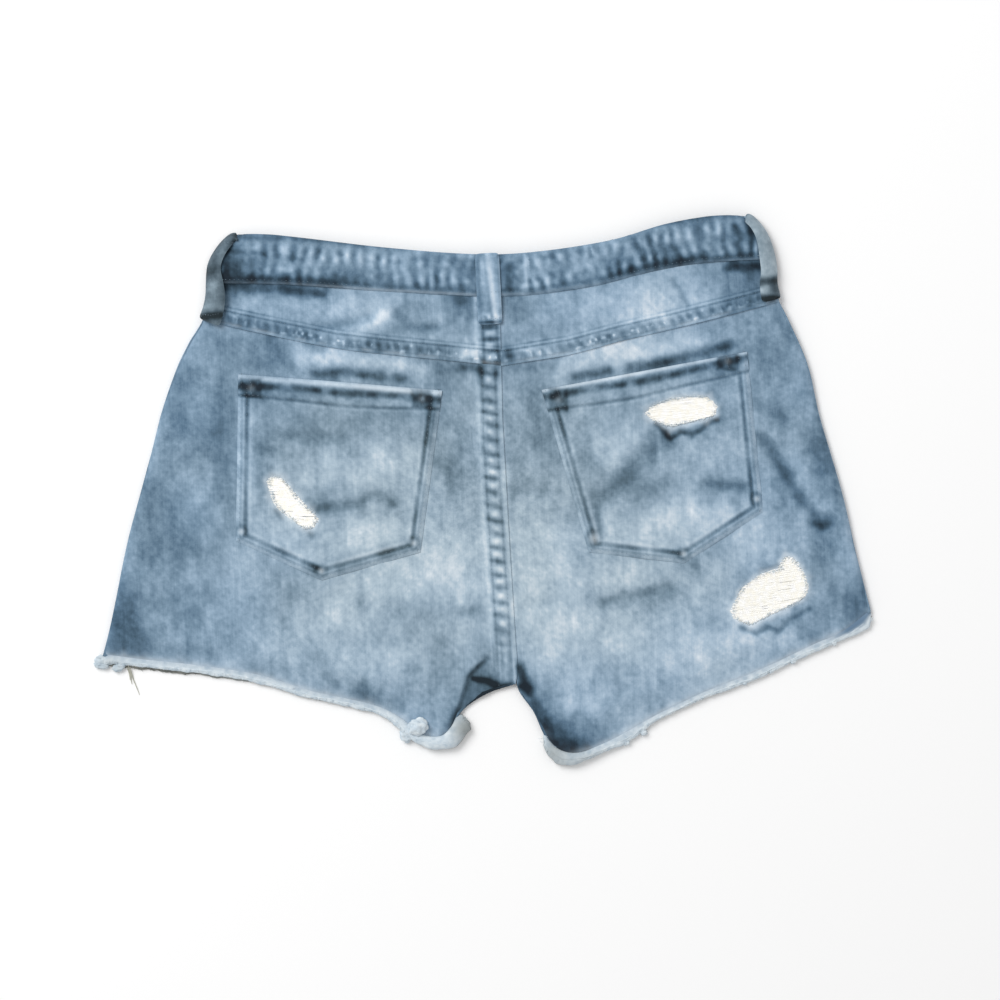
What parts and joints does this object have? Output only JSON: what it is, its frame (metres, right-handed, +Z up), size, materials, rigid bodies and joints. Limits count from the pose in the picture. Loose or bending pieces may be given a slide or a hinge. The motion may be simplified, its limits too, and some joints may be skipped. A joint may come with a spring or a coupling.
{
  "type": "denim shorts",
  "caption": "Light-wash denim shorts with a raw frayed hem, yoke, patch pockets and rips, laid flat with the back up.",
  "frame": {"origin": "on the surface that the shorts lie on, under the middle of their outline", "axes": "+X across the seat to the wearer's right side, +Y up to the waist, +Z up from the surface, out of the back"},
  "size_m": [0.5608, 0.3983, 0.0132],
  "materials": {
    "denim_seat": "washed-out light blue twill, whitened in the middle of the seat and along the seams",
    "denim_front": "washed blue twill",
    "denim_band": "washed blue twill with whitened roping",
    "denim_loop": "worn grey-blue twill with whitened ridges",
    "frayed_cotton": "bluish white frayed cotton",
    "weft_thread": "bare cream weft threads",
    "aged_brass": "dull, aged",
    "zip_tape": "navy woven tape"
  },
  "bodies": {
    "root": {"back_left": "denim_seat", "back_right": "denim_seat", "pocket_left": "denim_seat", "pocket_right": "denim_seat", "yoke_left": "denim_seat", "yoke_right": "denim_seat", "front_left": "denim_front", "front_right": "denim_front", "waistband_back": "denim_band", "waistband_front_left": "denim_band", "waistband_front_right": "denim_band", "belt_loop_centre": "denim_loop", "belt_loop_front_left": "denim_loop", "belt_loop_front_right": "denim_loop", "belt_loop_side_left": "denim_loop", "belt_loop_side_right": "denim_loop", "hem_fray_back_left": "frayed_cotton", "hem_fray_back_right": "frayed_cotton", "hem_fray_front_left": "frayed_cotton", "hem_fray_front_right": "frayed_cotton", "rip_threads_leg": "weft_thread", "rip_threads_pocket_left": "weft_thread", "rip_threads_pocket_right": "weft_thread", "button": "aged_brass", "zip_slider": "aged_brass", "zip": "zip_tape"}
  },
  "joints": []
}
